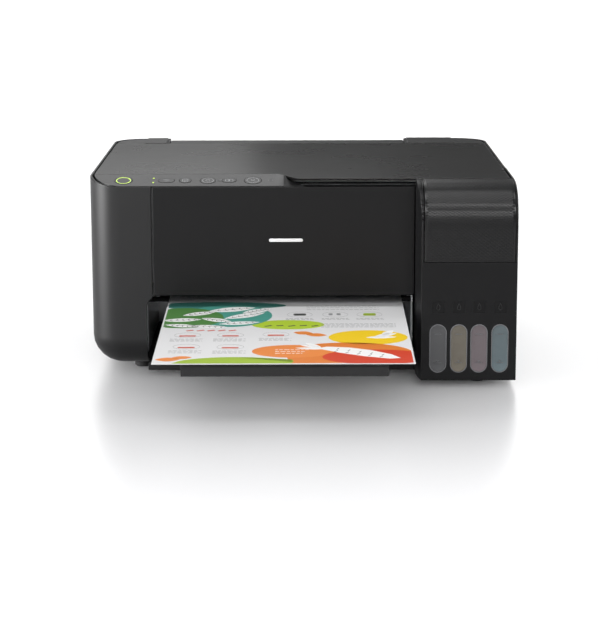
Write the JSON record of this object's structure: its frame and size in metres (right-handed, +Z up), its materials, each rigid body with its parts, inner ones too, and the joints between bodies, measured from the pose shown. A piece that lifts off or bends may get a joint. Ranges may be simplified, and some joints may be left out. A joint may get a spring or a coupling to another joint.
{
  "type": "inkjet printer",
  "caption": "Ink-tank multifunction inkjet printer with flatbed scanner, hinged lid, windowed ink tank unit, rear sheet feed, sliding output tray and a printed sheet.",
  "frame": {"origin": "on the surface that the feet stand on, under the middle of the bounding box with the tray pulled out and the sheet in the exit", "axes": "+X to the machine's right as seen from the front, +Y to its back, +Z up; the front faces -Y"},
  "size_m": [0.375, 0.5044, 0.1792],
  "materials": {
    "charcoal_plastic": "fine textured charcoal plastic",
    "front_panel_plastic": "semi-gloss black plastic",
    "inner_plastic": "matt black plastic",
    "zinc_steel": "zinc-plated sheet and bar",
    "rubber": "matt black rubber",
    "scanner_glass": "clear float glass",
    "lid_pad_foam": "white pad",
    "paper": "coated printing paper",
    "acetal": "natural acetal",
    "circuit_board": "green circuit board",
    "supply_case": "black plastic case",
    "socket_plastic": "black plastic",
    "print_head_metal": "nozzle plate",
    "ink_tank_black": "translucent plastic over black ink",
    "ink_tank_yellow": "translucent plastic over yellow ink",
    "ink_tank_magenta": "translucent plastic over magenta ink",
    "ink_tank_cyan": "translucent plastic over cyan ink"
  },
  "bodies": {
    "base": {"bottom_case": "inner_plastic", "outer_case": "charcoal_plastic", "front_panel": "front_panel_plastic", "rear_deck": "charcoal_plastic", "tank_housing": "charcoal_plastic", "ink_tank_black": "ink_tank_black", "ink_tank_yellow": "ink_tank_yellow", "ink_tank_magenta": "ink_tank_magenta", "ink_tank_cyan": "ink_tank_cyan", "foot_front_left": "rubber", "foot_rear_left": "rubber", "foot_rear_right": "rubber", "foot_front_right": "rubber", "chassis_frame": "zinc_steel", "carriage_rail": "zinc_steel", "platen": "inner_plastic", "star_wheel_bar": "inner_plastic", "timing_belt": "rubber", "carriage_motor": "zinc_steel", "feed_motor": "zinc_steel", "capping_station": "inner_plastic", "rear_feeder": "inner_plastic", "main_board": "circuit_board", "power_supply": "supply_case", "power_inlet": "socket_plastic", "usb_port": "zinc_steel"},
    "scanner_unit": {"scanner_housing": "inner_plastic", "scanner_glass": "scanner_glass", "scanner_rod": "zinc_steel", "control_panel": "charcoal_plastic"},
    "scan_bar": {"scan_bar": "inner_plastic"},
    "lid": {"document_lid": "charcoal_plastic", "lid_pad": "lid_pad_foam"},
    "carriage": {"print_carriage": "inner_plastic", "print_head": "print_head_metal"},
    "feed_roller": {"feed_roller": "rubber", "feed_gear": "acetal"},
    "power_button": {"power_button": "charcoal_plastic"},
    "network_button": {"network_button": "charcoal_plastic"},
    "info_button": {"info_button": "charcoal_plastic"},
    "copy_mono_button": {"copy_mono_button": "charcoal_plastic"},
    "copy_colour_button": {"copy_colour_button": "charcoal_plastic"},
    "stop_button": {"stop_button": "charcoal_plastic"},
    "tank_cover": {"tank_cover": "charcoal_plastic"},
    "tank_cap_black": {"tank_cap_black": "rubber"},
    "tank_cap_yellow": {"tank_cap_yellow": "rubber"},
    "tank_cap_magenta": {"tank_cap_magenta": "rubber"},
    "tank_cap_cyan": {"tank_cap_cyan": "rubber"},
    "tray_base": {"tray_base": "charcoal_plastic"},
    "tray_extension": {"tray_extension": "charcoal_plastic"},
    "paper_sheet": {"paper_sheet": "paper"},
    "paper_support": {"paper_support": "charcoal_plastic"},
    "edge_guide_left": {"edge_guide_left": "inner_plastic"},
    "edge_guide_right": {"edge_guide_right": "inner_plastic"},
    "motor_pulley": {"motor_pulley": "acetal"},
    "idler_pulley": {"idler_pulley": "acetal"},
    "motor_pinion": {"motor_pinion": "acetal"},
    "exit_roller": {"exit_roller": "rubber"},
    "pickup_roller": {"pickup_roller": "rubber"}
  },
  "joints": [
    {"name": "scanner_lift", "type": "hinge", "parent": "base", "child": "scanner_unit", "pos_m": [0, 0.20275, 0.1786], "axis": [-1, 0, 0], "range_deg": [0, 30]},
    {"name": "lid_open", "type": "hinge", "parent": "scanner_unit", "child": "lid", "pos_m": [0, 0.20145, 0.179], "axis": [-1, 0, 0], "range_deg": [0, 80]},
    {"name": "scan_bar_travel", "type": "slide", "parent": "scanner_unit", "child": "scan_bar", "axis": [1, 0, 0], "range_m": [0, 0.29]},
    {"name": "power_button_press", "type": "slide", "parent": "scanner_unit", "child": "power_button", "axis": [0, 0.2873, -0.9578], "range_m": [0, 0.0008], "stiffness_N_per_m": 400, "springref_m": -0.0004},
    {"name": "network_button_press", "type": "slide", "parent": "scanner_unit", "child": "network_button", "axis": [0, 0.2873, -0.9578], "range_m": [0, 0.0008], "stiffness_N_per_m": 400, "springref_m": -0.0004},
    {"name": "info_button_press", "type": "slide", "parent": "scanner_unit", "child": "info_button", "axis": [0, 0.2873, -0.9578], "range_m": [0, 0.0008], "stiffness_N_per_m": 400, "springref_m": -0.0004},
    {"name": "copy_mono_button_press", "type": "slide", "parent": "scanner_unit", "child": "copy_mono_button", "axis": [0, 0.2873, -0.9578], "range_m": [0, 0.0008], "stiffness_N_per_m": 400, "springref_m": -0.0004},
    {"name": "copy_colour_button_press", "type": "slide", "parent": "scanner_unit", "child": "copy_colour_button", "axis": [0, 0.2873, -0.9578], "range_m": [0, 0.0008], "stiffness_N_per_m": 400, "springref_m": -0.0004},
    {"name": "stop_button_press", "type": "slide", "parent": "scanner_unit", "child": "stop_button", "axis": [0, 0.2873, -0.9578], "range_m": [0, 0.0008], "stiffness_N_per_m": 400, "springref_m": -0.0004},
    {"name": "tank_cover_open", "type": "hinge", "parent": "base", "child": "tank_cover", "pos_m": [0, -0.05365, 0.1786], "axis": [-1, 0, 0], "range_deg": [0, 90]},
    {"name": "tank_cap_black_open", "type": "hinge", "parent": "base", "child": "tank_cap_black", "pos_m": [0.1193, -0.06175, 0.118], "axis": [-1, 0, 0], "range_deg": [0, 100]},
    {"name": "tank_cap_yellow_open", "type": "hinge", "parent": "base", "child": "tank_cap_yellow", "pos_m": [0.1373, -0.06175, 0.118], "axis": [-1, 0, 0], "range_deg": [0, 100]},
    {"name": "tank_cap_magenta_open", "type": "hinge", "parent": "base", "child": "tank_cap_magenta", "pos_m": [0.1549, -0.06175, 0.118], "axis": [-1, 0, 0], "range_deg": [0, 100]},
    {"name": "tank_cap_cyan_open", "type": "hinge", "parent": "base", "child": "tank_cap_cyan", "pos_m": [0.1731, -0.06175, 0.118], "axis": [-1, 0, 0], "range_deg": [0, 100]},
    {"name": "tray_base_slide", "type": "slide", "parent": "base", "child": "tray_base", "axis": [0, 0.9925, -0.1219], "range_m": [0, 0.1]},
    {"name": "tray_extension_slide", "type": "slide", "parent": "tray_base", "child": "tray_extension", "axis": [0, 0.9925, -0.1219], "range_m": [0, 0.095]},
    {"name": "sheet_slide", "type": "slide", "parent": "base", "child": "paper_sheet", "axis": [0, -0.9997, -0.0247], "range_m": [0, 0.12]},
    {"name": "paper_support_open", "type": "hinge", "parent": "base", "child": "paper_support", "pos_m": [0, 0.24775, 0.1757], "axis": [-1, 0, 0], "range_deg": [0, 110]},
    {"name": "edge_guide_left_slide", "type": "slide", "parent": "base", "child": "edge_guide_left", "axis": [1, 0, 0], "range_m": [0, 0.055]},
    {"name": "edge_guide_right_slide", "type": "slide", "parent": "base", "child": "edge_guide_right", "axis": [1, 0, 0], "range_m": [-0.055, 0]},
    {"name": "carriage_travel", "type": "slide", "parent": "base", "child": "carriage", "axis": [-1, 0, 0], "range_m": [0, 0.23]},
    {"name": "motor_pulley_spin", "type": "hinge", "parent": "base", "child": "motor_pulley", "pos_m": [-0.158, 0.11425, 0.104], "axis": [0, 1, 0], "range_deg": [0, 2095]},
    {"name": "idler_pulley_spin", "type": "hinge", "parent": "base", "child": "idler_pulley", "pos_m": [0.177, 0.11425, 0.104], "axis": [0, 1, 0], "range_deg": [0, 2095]},
    {"name": "feed_roller_spin", "type": "hinge", "parent": "base", "child": "feed_roller", "pos_m": [0, 0.11725, 0.058], "axis": [1, 0, 0], "continuous": true},
    {"name": "motor_pinion_spin", "type": "hinge", "parent": "base", "child": "motor_pinion", "pos_m": [0, 0.09225, 0.058], "axis": [1, 0, 0], "continuous": true},
    {"name": "exit_roller_spin", "type": "hinge", "parent": "base", "child": "exit_roller", "pos_m": [0, 0.01025, 0.0587], "axis": [1, 0, 0], "continuous": true},
    {"name": "pickup_roller_spin", "type": "hinge", "parent": "base", "child": "pickup_roller", "pos_m": [0, 0.19665, 0.095], "axis": [1, 0, 0], "continuous": true}
  ],
  "couplings": [
    {"joint": "motor_pulley_spin", "follows": "carriage_travel", "rad_per_m": 158.73},
    {"joint": "idler_pulley_spin", "follows": "carriage_travel", "rad_per_m": 158.73},
    {"joint": "edge_guide_right_slide", "follows": "edge_guide_left_slide", "ratio": -1},
    {"joint": "motor_pinion_spin", "follows": "feed_roller_spin", "ratio": -4},
    {"joint": "exit_roller_spin", "follows": "feed_roller_spin", "ratio": 1.0909},
    {"joint": "pickup_roller_spin", "follows": "feed_roller_spin", "ratio": -0.5}
  ]
}
